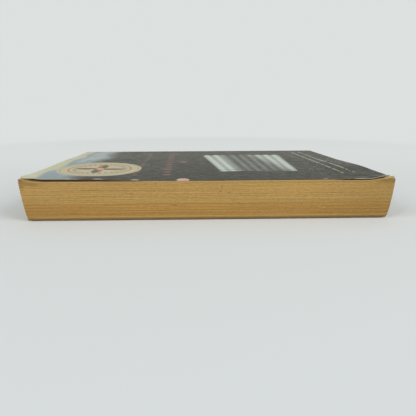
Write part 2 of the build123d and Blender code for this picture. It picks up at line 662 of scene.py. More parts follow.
@dataclass(frozen=True)
class LeafEdge:
    """The trimmed edges of yellowed pulp leaves, in bands with fine broken lines."""

    upper: Colour = (0.505, 0.312, 0.102)
    lower: Colour = (0.485, 0.275, 0.077)
    # Painted highlight: the top leaves' edges, lighter than the rest
    lit_top_leaves: Colour = (0.74, 0.51, 0.215)
    last_leaves: Colour = (0.62, 0.43, 0.17)
    # Painted shade: the first leaves' edges darkened where the cover card gapes over them
    gap_shaded_leaves: Colour = (0.165, 0.078, 0.05)
    # Painted highlight on the top leaves at the head corner
    corner: Colour = (0.96, 0.78, 0.42)
    # Painted shade along the foot of the leaves, just above the floor
    foot: Colour = (0.22, 0.145, 0.055)
    line: Colour = (0.30, 0.175, 0.05)
    dirt: Colour = (0.16, 0.10, 0.03)
    marks: tuple[tuple[float, float, float, float], ...] = (
        (-16.9, 7.9, 1.9, 0.35),
        (5.1, 14.7, 0.8, 0.45),
        (9.2, 14.2, 1.1, 0.28),
        (5.6, 16.9, 0.35, 0.9),
        (-25.4, 18.6, 0.6, 0.4),
        (-38.2, 14.1, 3.4, 0.14),
        (52.0, 6.1, 2.6, 0.14),
    )
    band_height: float = 0.43
    # Where the painted shade under the card lies along the book, at the tail and at the head
    gap_shade_at_tail: Span = ((-87.5, -82.0), (-48.0, -36.0))
    gap_shade_at_head: Span = ((58.0, 66.0), (81.5, 83.5))
    corner_highlight_span: tuple[float, float] = (81.5, 84.0)
    # Where the painted shade between the parted leaves starts towards each end
    leaf_gap_shade_ends: tuple[float, float] = (77.0, 83.0)

    @staticmethod
    def fibres(
        where: tuple[Value, Value], scales: tuple[float, float], detail: int, rough: float = 0.5
    ) -> Value:
        """Return streaks along the leaves, by how many there are in a millimetre and in a leaf."""
        along, number = where
        return along.graph.noise((along * scales[0], number * scales[1]), 1.0, detail, rough)

    def material(self) -> Material:
        """Build the finish.

        Returns:
            The material, which reads the height of each leaf from the mesh.
        """
        graph = Graph.of_material("leaf_edge")
        x, y, z = graph.place()
        leaf = graph.attribute("leaf")
        number = leaf * LEAVES
        along = x + y * ROUND_CORNER
        where = (along, number)

        drift = graph.noise((along * 0.012, leaf * 2.0), 1.0, 3)
        above_band = leaf + (drift - 0.5) * 0.02 - self.band_height
        colour = graph.mix(above_band.rise(-0.012, 0.012), self.lower, self.upper)
        broken = self.fibres(where, (0.04, 3.0), 2)
        streak = self.fibres(where, (0.012, 0.20), 5, 0.8)
        broad = self.fibres(where, (0.02, 0.09), 2)
        blotch = self.fibres(where, (0.35, 0.16), 4, 0.6)
        grain = self.fibres(where, (0.75, 0.20), 4, 0.75)
        colour = graph.tint(colour, -0.31 + streak * 1.0 + broad * 0.2 + blotch * 0.5 + grain * 0.84)

        start = abs((number / SECTION + 0.5).fraction() - 0.5) * SECTION
        parting = start.fall(0.6, 2.2) * (0.12 + leaf.fall(0.38, 0.48) * 0.55)
        each = graph.spot(number.math("FLOOR"), 3.0, 7.0)
        lines = each.rise(0.84, 0.93) * broken.rise(0.46, 0.60)
        nick = graph.noise((along * 0.45, number * 0.22, 4.0), 1.0, 3, 0.7)
        for share in (parting * broken.rise(0.25, 0.5), lines * 0.38, nick.rise(0.68, 0.74) * 0.6):
            colour = graph.mix(share, colour, self.line)

        # Painted highlight on the top leaves' edges, strongest at the tail where the card gapes over them
        top = leaf.rise(0.955, 0.985) * (0.55 + x.fall(-50.0, -35.0) * 0.45)
        colour = graph.mix(top, colour, self.lit_top_leaves)
        # Painted shade on the first leaves' edges in the gap under the card, at the tail and at the head
        at_tail = x.between(*self.gap_shade_at_tail) * leaf.rise(0.981, 0.985)
        at_head = x.between(*self.gap_shade_at_head) * leaf.rise(0.983, 0.9865) * 0.95
        colour = graph.mix(at_tail.most(at_head), colour, self.gap_shaded_leaves)
        # Painted highlight on the top leaves at the head corner
        colour = graph.mix(x.rise(*self.corner_highlight_span) * leaf.rise(0.962, 0.976), colour, self.corner)
        # Painted shade between the parted leaves near the head corner, and darker upper leaves at the tail
        # end
        leaf_gap_shade = abs(x).rise(*self.leaf_gap_shade_ends) * leaf.between((0.86, 0.91), (0.948, 0.965))
        leaf_gap_shade = leaf_gap_shade.most(x.fall(-87.4, -86.2) * leaf.rise(0.72, 0.86))
        colour = graph.mix(leaf_gap_shade * (0.40 + blotch.rise(0.4, 0.6) * 0.45), colour, self.line)

        for mark_x, mark_z, half_width, half_height in self.marks:
            mark = graph.length((x - mark_x) / half_width, (z - mark_z) / half_height)
            colour = graph.mix(mark.fall(0.4, 1.1) * 0.6, colour, self.dirt)
        border = above_band.near(-0.012, 0.004, 0.014)
        colour = graph.mix(border * broken.rise(0.30, 0.55) * 0.38, colour, self.line)
        colour = graph.mix(leaf.near(0.088, 0.008, 0.020) * 0.5, colour, self.last_leaves)
        # Painted contact shade along the foot of the leaves
        colour = graph.mix(leaf.fall(0.03, 0.06) * 0.92, colour, self.foot)
        ends_dark = x.rise(40.0, 92.0) * 0.17 + x.fall(-92.0, -55.0) * 0.05
        colour = graph.tint(colour, 1 - ends_dark)
        fuzz = graph.noise((x * 6, y * 6, number), 1.0, 3)
        return graph.finish(colour, 0.9, fuzz, 0.03 * MM, 0.2)


@dataclass(frozen=True)
class PageFace:
    """The face of a yellowed leaf, browner towards its trimmed edges."""

    middle: Colour = (0.66, 0.53, 0.33)
    border: Colour = (0.58, 0.42, 0.20)
    border_width: float = 14.0

    def material(self, shape: BookShape) -> Material:
        """Build the finish.

        Args:
            shape: The book's shape, for the distance from the trimmed edges.

        Returns:
            The material.
        """
        graph = Graph.of_material("page_face")
        x, y, _ = graph.place()
        half = shape.height / 2 / MM
        inland = (half - abs(x)).least(y - shape.front_y / MM)
        cloud = graph.noise((x, y), 0.06, 4)
        edge = (inland + (cloud - 0.5) * 10).fall(0.0, self.border_width)
        colour = graph.mix(edge * 0.8, self.middle, self.border)
        specks = graph.noise((x, y), 2.2, 5, 0.7)
        colour = graph.tint(colour, 0.88 + specks * 0.24)
        return graph.finish(colour, 0.92, specks, 0.02 * MM, 0.2)


@dataclass(frozen=True)
class BareCard:
    """The unprinted side of the cover card, a little yellowed."""

    base: Colour = (0.60, 0.56, 0.44)
    worn: Colour = (0.50, 0.44, 0.31)

    def material(self) -> Material:
        """Build the finish.

        Returns:
            The material.
        """
        graph = Graph.of_material("card_inside")
        x, y, z = graph.place()
        grime = graph.noise((x, y, z), 0.022, 5, 0.55)
        fibre = graph.noise((x, y, z), 2.0, 4, 0.6)
        colour = graph.mix(grime.rise(0.35, 0.75) * 0.6, self.base, self.worn)
        colour = graph.tint(colour, 0.95 + fibre * 0.10)
        return graph.finish(colour, 0.8, fibre, 0.01 * MM, 0.3)


@dataclass(frozen=True)
class CutEdge:
    """The cut edge of the cover card, dull with grime and pale where the corners are worn."""

    name: str = "card_cut"
    grime: Colour = (0.13, 0.105, 0.07)
    bare: Colour = (0.43, 0.38, 0.29)
    printed: Colour = (0.66, 0.48, 0.42)
    # Darker and redder along the tail half of the fore-edge
    tail_maroon: Colour = (0.19, 0.075, 0.065)
    tail_maroon_span: Span = ((-80.0, -70.0), (-46.0, -34.0))
    printed_half_width: tuple[float, float] = (2.4, 3.0)

    def material(self) -> Material:
        """Build the finish.

        Returns:
            The material.
        """
        graph = Graph.of_material(self.name)
        x, y, z = graph.place()
        patch = graph.noise((x * 0.3, y * 0.3, z), 1.0, 4, 0.6)
        ends = x.fall(-74.0, -50.0).most(x.rise(60.0, 74.0) * 0.72).most(x.rise(78.0, 82.0))
        worn = (ends * 0.55 + patch).rise(0.62, 0.95)
        fibre = graph.noise((x, y, z), 3.0, 3)
        # The cut edge darker and redder along the tail half of the fore-edge
        tail_maroon_share = x.between(*self.tail_maroon_span)
        colour = graph.mix(worn, graph.mix(tail_maroon_share, self.grime, self.tail_maroon), self.bare)
        colour = graph.mix(x.near(TAB_X, *self.printed_half_width), colour, self.printed)
        colour = graph.tint(colour, 0.8 + fibre * 0.4)
        return graph.finish(colour, 0.85, fibre, 0.01 * MM, 0.25)


@dataclass(frozen=True)
class HotMelt:
    """Aged binding glue."""

    pale: Colour = (0.5, 0.36, 0.17)
    dark: Colour = (0.36, 0.24, 0.1)

    def material(self) -> Material:
        """Build the finish.

        Returns:
            The material.
        """
        graph = Graph.of_material("hot_melt")
        x, y, z = graph.place()
        flow = graph.noise((x, y, z), 0.9, 3)
        colour = graph.tint(graph.mix(flow, self.pale, self.dark), 0.9 + flow * 0.2)
        return graph.finish(colour, 0.45 + flow * 0.2, flow, 0.05 * MM)


@dataclass(frozen=True)
class Roundel:
    """A pale printed disc with two rings, short ticks and a four-armed star. Sizes in millimetres."""

    x: float = -58.5
    y: float = -26.8
    radius: float = 22.5
    disc: Colour = (0.55, 0.51, 0.325)
    rim: Colour = (0.42, 0.38, 0.2)
    red: Colour = (0.50, 0.17, 0.12)
    dark: Colour = (0.14, 0.12, 0.08)

    def over(self, graph: Graph, colour: Value, x: Value, y: Value) -> Value:
        """Print the disc over a colour.

        Args:
            graph: The material's nodes.
            colour: What is under it.
            x: The place along the book.
            y: The place across it.

        Returns:
            The colour with the disc on it.
        """
        out = graph.length(x - self.x, y - self.y) / self.radius
        turn = (y - self.y).math("ARCTAN2", x - self.x)
        colour = graph.mix(out.fall(0.985, 1.01), colour, self.disc)
        colour = graph.mix(out.near(0.93, 0.008, 0.02), colour, self.rim)
        colour = graph.mix(out.near(0.74, 0.012, 0.03), colour, self.red)
        arms = abs((turn * 2).cosine()) ** 3
        star = (out - 0.16 - arms * 0.42).fall(-0.01, 0.015)
        quarter = (turn * 4 + 1.2).cosine().rise(-0.1, 0.1)
        colour = graph.mix(star, colour, graph.mix(quarter, self.red, self.dark))
        ticks = out.near(0.60, 0.035, 0.06) * (turn * 28).cosine().rise(0.0, 0.5)
        colour = graph.mix(ticks * 0.8, colour, self.dark)
        return graph.mix(out.fall(0.09, 0.11), colour, self.disc)


@dataclass(frozen=True)
class PleatedFan:
    """A pale pleated fan with a scalloped rim, printed on the field. Sizes in millimetres."""

    x: float = 28.0
    y: float = -230.0
    inner: float = 196.0
    outer: float = 257.0
    half_turn: float = 0.105
    pleats: int = 9
    mint: Colour = (0.37, 0.43, 0.38)
    white: Colour = (0.60, 0.64, 0.57)
    shade: Colour = (0.065, 0.075, 0.066)

    def over(self, graph: Graph, colour: Value, x: Value, y: Value) -> Value:
        """Print the fan over a colour.

        Args:
            graph: The material's nodes.
            colour: What is under it.
            x: The place along the book.
            y: The place across it.

        Returns:
            The colour with the fan on it.
        """
        out = graph.length(x - self.x, y - self.y)
        turn = (x - self.x).math("ARCTAN2", y - self.y)
        fold = turn * (math.pi * self.pleats / (2 * self.half_turn))
        scallop = abs(fold.cosine())
        span = (out - self.inner) / (self.outer - self.inner)
        inside = (out - self.outer - scallop * 3.5).fall(-0.3, 0.3) * (out - self.inner).rise(-0.3, 0.3)
        inside = inside * abs(turn).fall(self.half_turn - 0.002, self.half_turn + 0.002)
        pleat = (fold * 2).cosine().rise(-0.9, 0.7)
        paint = graph.mix(pleat, self.mint, self.white)
        open_side = turn.rise(self.half_turn * -0.60, self.half_turn * -0.42)
        far_side = (turn + span * self.half_turn * 0.5).fall(self.half_turn * 0.55, self.half_turn * 1.05)
        deep = open_side * far_side * (1.0 - pleat * 0.18)
        paint = graph.mix(deep * 0.95, paint, self.shade)
        paint = graph.mix(span.near(0.07, 0.006, 0.014) * 0.7, paint, self.shade)
        return graph.mix(inside, colour, paint)


@dataclass(frozen=True)
class PrintedCard:
    """Dark varnished card with a pale band at the tail and generic printed ornaments."""

    field_colour: Colour = (0.040, 0.039, 0.033)
    field_haze: Colour = (0.064, 0.062, 0.052)
    cream: Colour = (0.58, 0.575, 0.40)
    slate: Colour = (0.27, 0.34, 0.375)
    wisp: Colour = (0.52, 0.57, 0.56)
    foil: Colour = (0.42, 0.41, 0.33)
    rust: Colour = (0.28, 0.145, 0.115)
    pink: Colour = (0.66, 0.42, 0.36)
    card: Colour = (0.60, 0.60, 0.55)
    bare_spots: tuple[tuple[float, float, float], ...] = (
        (CHIP_X, 2.6, 1.9),
        (-35.0, 2.2, 1.8),
        (54.5, 1.4, 0.9),
        (-66.0, 1.6, 0.7),
    )
    cream_fades: tuple[float, float] = (5.0, 9.5)
    band_fades: tuple[float, float] = (16.0, 31.0)
    dot_places: tuple[tuple[float, float], ...] = ((-37.0, 1.6), (-21.0, 2.7))
    dot_pitch: float = 2.9
    column_span: Span = ((-47.0, -46.0), (41.0, 42.0))
    lozenge_place: tuple[float, float] = (-12.5, -2.0)
    lozenge_radius: tuple[float, float] = (2.8, 3.2)
    rule_places: tuple[float, ...] = (69.5, 75.3)
    rule_half_width: tuple[float, float] = (0.5, 0.8)
    rule_span: Span = ((-42.5, -41.5), (45.0, 46.0))
    tab_radius: tuple[float, float] = (2.9, 3.2)

    def ornaments(self, graph: Graph, colour: Value, x: Value, y: Value, front_y: float) -> Value:
        """Print the front panel's ornaments.

        Args:
            graph: The material's nodes.
            colour: What is under them.
            x: The place along the book.
            y: The place across it.
            front_y: Where the fore-edge is.

        Returns:
            The printed colour.
        """
        in_column = y.between(*self.column_span)
        for place, size in self.dot_places:
            pitch = size * self.dot_pitch
            along = abs((y / pitch).fraction() - 0.5) * pitch
            out = abs(x - place) + along * 1.15
            dot = out.fall(size - 0.2, size + 0.2) - out.fall(size * 0.35 - 0.2, size * 0.35 + 0.2)
            colour = graph.mix(dot * in_column * 0.9, colour, self.rust)
        lozenge = abs(x - self.lozenge_place[0]) + abs(y - self.lozenge_place[1])
        colour = graph.mix(lozenge.fall(*self.lozenge_radius), colour, self.rust)
        worn = graph.noise((x * 0.3, y * 0.2), 1.0, 4, 0.7)
        in_rule = y.between(*self.rule_span)
        for place in self.rule_places:
            rule = x.near(place, *self.rule_half_width) * worn.rise(0.40, 0.50)
            colour = graph.mix(rule * in_rule * 0.85, colour, self.foil)
        tab = graph.length(x - TAB_X, (y - front_y) * 0.7).fall(*self.tab_radius)
        colour = graph.mix(tab, colour, self.pink)
        colour = Roundel().over(graph, colour, x, y)
        colour = PleatedFan().over(graph, colour, x, y)
        for place, half_width, depth in self.bare_spots:
            ragged = graph.noise((x, y), 1.5, 3, 0.7) * 0.8
            spot = graph.length((x - place) / half_width, (y - front_y) / depth) + ragged
            colour = graph.mix(spot.fall(1.1, 1.4) * 0.9, colour, self.card)
        return colour

    def material(self, name: str, shape: BookShape, side: Side) -> Material:
        """Build the finish for one part of the cover.

        Args:
            name: The material's name.
            shape: The book's shape.
            side: Which part of the cover it prints.

        Returns:
            The material.
        """
        graph = Graph.of_material(name)
        x, y, z = graph.place()
        cloud = graph.noise((x, y, z), 0.09, 4)
        grain = graph.noise((x, y, z), 1.6, 4, 0.6)
        streaks = graph.noise((x * 0.25, y * 0.55, z), 1.0, 5, 0.75)
        haze = (cloud * 1.1 + streaks * 0.8 - 0.45).rise(0.25, 0.85)
        # Painted reflection: the field lighter towards the spine, standing in for the sheen of the pale
        # backdrop at grazing angles
        far = y.rise(-50.0, 60.0) * 0.75
        mottle = 1.1 * grain + 1.3 * streaks - 0.44 + far
        colour = graph.tint(graph.mix(haze, self.field_colour, self.field_haze), mottle)
        if side is not Side.BACK:
            inset = x - shape.tail_x / MM + (cloud - 0.5) * 5 + (y * 0.16).cosine() * 1.2
            band = graph.mix(inset.rise(*self.cream_fades), self.cream, self.slate)
            # The wisps also take a share of the painted reflection
            wisps = graph.noise((x * 0.09, y * 0.045, z * 0.1), 1.0, 4, 0.55) + far * 0.3
            band = graph.mix(wisps.rise(0.50, 0.66) * inset.rise(7.0, 14.0) * 0.6, band, self.wisp)
            wrap = z.rise(0.8, 2.2)
            colour = graph.mix(inset.fall(*self.band_fades) * wrap, colour, band)
        if side is Side.FRONT:
            colour = self.ornaments(graph, colour, x, y, shape.front_y / MM)
        rub = graph.attribute("rub")
        bruise = graph.noise((x, y, z), 0.8, 5, 0.7)
        worn = (rub * 1.15 + bruise - 0.5).rise(0.62, 0.92)
        colour = graph.mix(worn * 0.85, colour, self.card)
        scuff = graph.noise((x * 0.35, y * 0.9, z), 0.5, 5, 0.7)
        colour = graph.mix(scuff.rise(0.54, 0.72) * 0.09, colour, self.card)
        roughness = cloud * 0.14 + grain * 0.18 + streaks * 0.85 + worn * 0.35 - 0.16
        roughness = roughness + scuff.rise(0.5, 0.7) * 0.12
        dents = graph.noise((x, y, z), 0.12, 3) + grain * 0.12
        return graph.finish(colour, roughness, dents, 0.10 * MM, 0.5)


# The pieces


@dataclass
class LeafBlock:
    """The glued leaves, each with its trimmed edge as a ridge round three sides."""

    shape: BookShape
    loose_leaves: int = 8
    columns: int = 64
    rows: int = 9
    valley: float = 0.05 * MM
    crack: float = 0.22 * MM
    cracked_share: float = 0.10
    crack_waves: tuple[float, ...] = (0.083, 0.037, 0.0171)
    crack_start: float = 0.55
    crack_steepness: float = 4.0
    parting: float = 0.07 * MM
    drift_leaves: int = 7
    bundle_creep: float = 0.07 * MM
    leaf_creep: float = 0.02 * MM
    foot_wear: float = 0.6 * MM
    foot_wear_height: float = 1.5 * MM
    foot_wear_reach: float = 6.0 * MM
    settling: float = 0.10 * MM
    settling_reach: float = 30.0 * MM
    long_ripple: float = 21.0 * MM
    short_ripple: float = 8.3 * MM
    top_share: float = 0.72
    curl_depth: float = 8 * MM
    curl_power: float = 1.6
    seed: int = 11

    @property
    def leaf_count(self) -> int:
        """Return how many leaves lie tight."""
        return LEAVES - self.loose_leaves

    @property
    def pitch(self) -> float:
        """Return the height that one leaf takes up."""
        return (self.shape.block_high - self.shape.block_low) / LEAVES

    @property
    def top(self) -> float:
        """Return the height of the top of the tight leaves, below the loose ones."""
        return self.shape.block_low + self.leaf_count * self.pitch

    def insets(self, ring: np.ndarray, along: np.ndarray, rng: np.random.Generator) -> np.ndarray:
        """Work out how far each point of a trimmed face stands back.

        Args:
            ring: The ring that each point is on, two for each leaf.
            along: How far along the edge each point is.
            rng: The source of the random leaves.

        Returns:
            The distance that each point stands back from the trimmed face.
        """
        rings = 2 * self.leaf_count + 1
        walk = np.cumsum(rng.normal(0, 1, rings // 2 + 1))
        smooth = np.convolve(walk, np.ones(self.drift_leaves) / self.drift_leaves, mode="same")
        level = np.interp(smooth, (smooth.min(), smooth.max()), (0, 1))
        creep = self.bundle_creep * level[ring // 2]
        leaf_creep = rng.uniform(0, self.leaf_creep, rings)[ring]
        valley = (ring % 2 == 0) & (ring > 0) & (ring < rings - 1)
        cracked = rng.uniform(0, 1, rings) < self.cracked_share
        opening = Wander(rng, rings, self.crack_waves).at(ring, along)
        opened = np.clip((opening - self.crack_start) * self.crack_steepness, 0, 1)
        depth = self.valley + self.crack * cracked[ring] * opened
        depth += self.parting * (ring % (2 * SECTION) == 0)
        return creep + leaf_creep + valley * depth

    def build(self, edge: Material, page: Material) -> Piece:
        """Model and dress the tight leaves.

        Args:
            edge: The finish of the trimmed edges.
            page: The finish of the top and bottom leaf.

        Returns:
            The piece.
        """
        shape = self.shape
        spans = (shape.ends, shape.leaf_span, (shape.block_low, self.top))
        cuts = (self.columns, self.rows, 2 * self.leaf_count - 1)
        piece, step, normals = add_grid_box("leaf_block", spans, cuts)
        rng = np.random.default_rng(self.seed)
        ring = step[:, 2]
        z = shape.block_low + ring * self.pitch / 2
        x = shape.along(step[:, 0], z)
        inland = shape.inland(step[:, 1])
        stand_back = self.insets(ring, x + inland * ROUND_CORNER, rng)
        at_head = step[:, 0] == self.columns + 1
        x += stand_back * ((step[:, 0] == 0).astype(float) - at_head)
        worn = ease(z, shape.block_low + self.foot_wear_height, shape.block_low)
        x -= self.foot_wear * worn * ease(inland, self.foot_wear_reach, 0.0) * at_head
        inland = inland + stand_back * (step[:, 1] == 0)
        depth_share = (ring / ring.max()).astype(float)
        settle = np.sin(math.pi * depth_share) * self.settling
        ripple = np.sin(x / self.long_ripple + depth_share * 5)
        ripple += 0.6 * np.sin(x / self.short_ripple + depth_share * 9 + 1)
        share = self.top_share * np.clip(1 - (self.top - z) / self.curl_depth, 0, 1) ** self.curl_power
        y = shape.front_y + inland + shape.roll_at(z)
        lift = shape.leaf_lift(x, inland, share)
        near_edge = np.clip(1 - inland / self.settling_reach, 0, 1)
        move_points(piece, np.column_stack((x, y, z + lift + settle * ripple * near_edge)))
        set_attribute(piece, "leaf", ring / 2 / LEAVES)
        dress(piece, (edge, page), np.abs(normals[:, 2]) > 0.5)
        smooth_by_angle(piece, 30)
        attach(piece, "book_block")
        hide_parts("page_block")
        report(piece)
        return piece


@dataclass
class LooseLeaves:
    """The first few leaves, which fan apart at the curled corners."""

    block: LeafBlock
    columns: int = 64
    rows: int = 13
    leaf: float = 0.075 * MM
    shares: tuple[float, ...] = (0.72, 0.74, 0.79, 0.81, 0.83, 0.93, 0.95, 1.0)
    corner_radii: tuple[float, float] = (0.3 * MM, 1.1 * MM)
    creep: float = 0.10 * MM
    standing_back: int = 3
    behind_tail: Offset = Offset(0.9, (62.0, 46.0), (8.0, 0.0))
    tail_inset: tuple[float, float] = (4.0 * MM, 8.0 * MM)
    behind_head: Offset = Offset(1.1, (27.0, 22.0), (8.0, 0.0))
    head_inset: tuple[float, float] = (4.0 * MM, 6.0 * MM)
    tip_lift: float = 0.09
    tip_reach: tuple[float, float] = (4.5 * MM, 1.5 * MM)
    pressed: float = 0.22
    pressed_from: tuple[float, float] = (20.0 * MM, 12.0 * MM)
    pressed_to: tuple[float, float] = (3.0 * MM, 5.5 * MM)
    wave: float = 0.012 * MM
    wave_lengths: tuple[float, float] = (9.0 * MM, 16.0 * MM)
    wave_reach: float = 20.0 * MM
    seed: int = 23

    def build(self, edge: Material, page: Material) -> Piece:
        """Model and dress the leaves.

        Args:
            edge: The finish of their trimmed edges.
            page: The finish of their faces.

        Returns:
            The piece, all leaves joined.
        """
        shape = self.block.shape
        spans = (shape.ends, shape.leaf_span, (self.block.top, self.block.top + self.leaf))
        first, step, normals = add_grid_box("loose_leaves", spans, (self.columns, self.rows, 0))
        dress(first, (edge, page), np.abs(normals[:, 2]) > 0.5)
        leaves = [first]
        for _ in range(self.block.loose_leaves - 1):
            activate(first)
            bpy.ops.object.duplicate()
            leaves.append(bpy.context.active_object)
        rng = np.random.default_rng(self.seed)
        for number, leaf in enumerate(leaves):
            self.lay(leaf, number, step, rng)
        activate(first)
        for leaf in leaves:
            leaf.select_set(True)
        bpy.ops.object.join()
        smooth_by_angle(first, 30)
        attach(first, "book_block")
        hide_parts("page_block")
        report(first)
        return first

    def lay(self, leaf: Piece, number: int, step: np.ndarray, rng: np.random.Generator) -> None:
        """Bend one leaf into its place in the fan.

        Args:
            leaf: The leaf's object.
            number: Its place above the tight leaves.
            step: The grid line of each of its points.
            rng: The source of its small differences.
        """
        shape = self.block.shape
        z = self.block.top + number * self.block.pitch + step[:, 2] * self.leaf
        x = shape.along(step[:, 0], z)
        inland = shape.inland(step[:, 1])
        tail_radius, head_radius = rng.uniform(*self.corner_radii, 2)
        radii = (tail_radius, 2 * head_radius)
        x, inland = round_corners(shape, x, inland, shape.thickness, radii)
        tail, head = shape.from_ends(x, shape.thickness)
        creep = rng.uniform(0.0, self.creep)
        if number >= self.block.loose_leaves - self.standing_back:
            creep = creep + self.behind_tail.at(tail, inland) * ease(tail, *self.tail_inset)
            creep = creep + self.behind_head.at(head, inland) * ease(head, *self.head_inset)
        wave = np.sin(x / rng.uniform(*self.wave_lengths) + rng.uniform(0, 6)) * self.wave
        y = shape.front_y + creep + inland + shape.roll_at(z)
        below_card = ease(head, *self.pressed_from) * ease(head, *self.pressed_to)
        tip = ease(head, *self.tip_reach)
        share = self.shares[number] * (1 + self.tip_lift * tip - self.pressed * below_card)
        lift = shape.leaf_lift(x, inland, share)
        near_edge = np.clip(1 - inland / self.wave_reach, 0, 1)
        move_points(leaf, np.column_stack((x, y, z + lift + wave * near_edge)))
        height = (self.block.leaf_count + number + 0.5) / LEAVES
        set_attribute(leaf, "leaf", np.full(len(x), height))


def round_corners(
    shape: BookShape, x: np.ndarray, inland: np.ndarray, z: float, radii: tuple[float, float]
) -> tuple[np.ndarray, np.ndarray]:
    """Round a sheet's two corners at the fore-edge by drawing its grid in.

    Args:
        shape: The book's shape.
        x: Places along the book.
        inland: Distances from the fore-edge.
        z: The sheet's height.
        radii: The radius of the corner at the tail and of the one at the head.

    Returns:
        The new places along the book and distances from the fore-edge.
    """
    from_tail, from_head = shape.from_ends(x, z)
    towards_tail = from_tail < from_head
    radius = np.where(towards_tail, *radii)
    out_x = np.clip(radius - np.minimum(from_tail, from_head), 0, None)
    out_y = np.clip(radius - inland, 0, None)
    reach = np.hypot(out_x, out_y)
    inside = np.maximum(out_x, out_y)
    scale = np.where((out_x > 0) & (out_y > 0), inside / np.maximum(reach, 1e-12), 1.0)
    pull_x = out_x * (1 - scale)
    return x + np.where(towards_tail, pull_x, -pull_x), inland + out_y * (1 - scale)


@dataclass
class CoverPanel:
    """One panel of the cover, with its crease and its strip beside the spine."""

    shape: BookShape
    side: Side
    columns: int = 96
    rows: int = 44
    row_crowding: float = 1.45
    crease_rows: int = 12
    strip_rows: int = 4
    crease_half: float = 0.45 * MM
    seam_setback: float = 1.4 * MM
    corner_radii: tuple[float, float] = (4.2 * MM, 4.2 * MM)
    crease_depth: float = 0.07 * MM
    crease_width: float = 0.2 * MM
    cut_rounding: float = 0.05 * MM
    fray_depth: float = 0.10 * MM
    fray_waves: tuple[float, ...] = (0.019, 0.0071, 0.0031)
    chip_width: float = 1.4 * MM
    chip_depth: float = 0.30 * MM
    end_wear: float = 0.55 * MM
    fore_edge_wear: float = 0.40 * MM
    worn_ends: tuple[float, float] = (34.0 * MM, 14.0 * MM)
    corner_wear: float = 2.6 * MM
    crease_wear: float = 0.28 * MM
    seed: int = 5

    @property
    def crease(self) -> float:
        """Return where the panel's crease is across the book."""
        return self.shape.front_crease if self.side is Side.FRONT else self.shape.back_crease

    @property
    def outer_z(self) -> float:
        """Return the height of the panel's printed face."""
        return self.shape.thickness if self.side is Side.FRONT else 0.0

    @property
    def edge_y(self) -> float:
        """Return where the panel's fore-edge is across the book."""
        return self.shape.front_y + self.shape.roll_at(self.outer_z)

    @property
    def seam_y(self) -> float:
        """Return where the panel's strip meets the card round the spine."""
        return self.edge_y + self.shape.leaf_width + self.shape.spine_build - self.seam_setback

    def stations(self) -> np.ndarray:
        """Space the grid's lines across the book.

        Returns:
            Where each line is, close together at the crease.
        """
        start, stop = self.crease - self.crease_half, self.crease + self.crease_half
        share = np.linspace(0, 1, self.rows + 1)
        panel = self.edge_y + (start - self.edge_y) * share**self.row_crowding
        crease = np.linspace(start, stop, self.crease_rows + 1)
        strip = np.linspace(stop, self.seam_y, self.strip_rows + 1)
        return np.concatenate((panel, crease[1:], strip[1:]))

    def fray(self, x: np.ndarray, edge: np.ndarray, rng: np.random.Generator) -> np.ndarray:
        """Wear the fore-edge of the card, with one small chip out of the front panel's.

        Args:
            x: Places along the book.
            edge: Which points are on the fore-edge.
            rng: The source of the wear.

        Returns:
            How far each point stands back.
        """
        wear = Wander(rng, 1, self.fray_waves).at(np.zeros(len(x), int), x)
        chip = hump(x, CHIP_X * MM, self.chip_width) * self.chip_depth * (self.side is Side.FRONT)
        return edge * (np.clip(wear, 0, 1) * self.fray_depth + chip)

    def build(self, printed: Material, inside: Material, cut: Material) -> Piece:
        """Model and dress the panel.

        Args:
            printed: The finish of its outer face.
            inside: The finish of its inner face.
            cut: The finish of its cut edges.

        Returns:
            The piece.
        """
        shape = self.shape
        front = self.side is Side.FRONT
        stations = self.stations()
        base = self.outer_z - (shape.card if front else 0.0)
        spans = (shape.ends, (self.edge_y, self.seam_y), (base, base + shape.card))
        cuts = (self.columns, len(stations) - 2, 0)
        piece, step, normals = add_grid_box(f"{self.side.value}_card", spans, cuts)
        outward = normals[:, 2] * (1 if front else -1)
        faces = np.select((outward > 0.5, outward < -0.5), (0, 1), 2)
        rng = np.random.default_rng(self.seed)
        x = shape.along(step[:, 0], self.outer_z)
        y = stations[step[:, 1]]
        inland = y - self.edge_y
        x, inland = round_corners(shape, x, inland, self.outer_z, self.corner_radii)
        inland = inland + self.fray(x, step[:, 1] == 0, rng)
        z = base + step[:, 2] * shape.card
        rub = self.rubbed(x, inland)
        press = hump(inland + self.edge_y, self.crease, self.crease_width) * self.crease_depth
        if front:
            z = z + shape.card_lift(x, inland) - press * step[:, 2]
        else:
            z = z + press * (1 - step[:, 2])
        move_points(piece, np.column_stack((x, self.edge_y + inland, z)))
        set_attribute(piece, "rub", rub)
        dress(piece, (printed, inside, cut), faces)
        round_edges(piece, self.cut_rounding)
        smooth_by_angle(piece, 40)
        self.hinge(piece)
        report(piece)
        return piece

    def rubbed(self, x: np.ndarray, inland: np.ndarray) -> np.ndarray:
        """Work out how rubbed each point is, most at the edges, corners and crease.

        Args:
            x: Places along the book.
            inland: Distances from the fore-edge.

        Returns:
            The wear at each point, from 0 to 1.
        """
        from_end = np.minimum(*self.shape.from_ends(x, self.outer_z))
        fore_edge = np.exp(-inland / self.fore_edge_wear) * (0.35 + 0.65 * ease(from_end, *self.worn_ends))
        edge = np.maximum(np.exp(-from_end / self.end_wear), fore_edge)
        corner = np.exp(-np.hypot(from_end, inland) / self.corner_wear) * 0.8
        crease = hump(inland + self.edge_y, self.crease, self.crease_wear) * 0.55
        return np.clip(np.maximum(np.maximum(edge * 0.9, corner), crease), 0, 1)

    def hinge(self, piece: Piece) -> None:
        """Set the panel's place into its mesh and hide the imported cover parts that it stands in for.

        Args:
            piece: The panel's object.
        """
        body = f"{self.side.value}_cover"
        start = (0, self.crease + self.crease_half, self.outer_z)
        end = (0, self.crease - self.crease_half, self.outer_z)
        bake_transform(piece)
        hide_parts(body, "spine_cover")


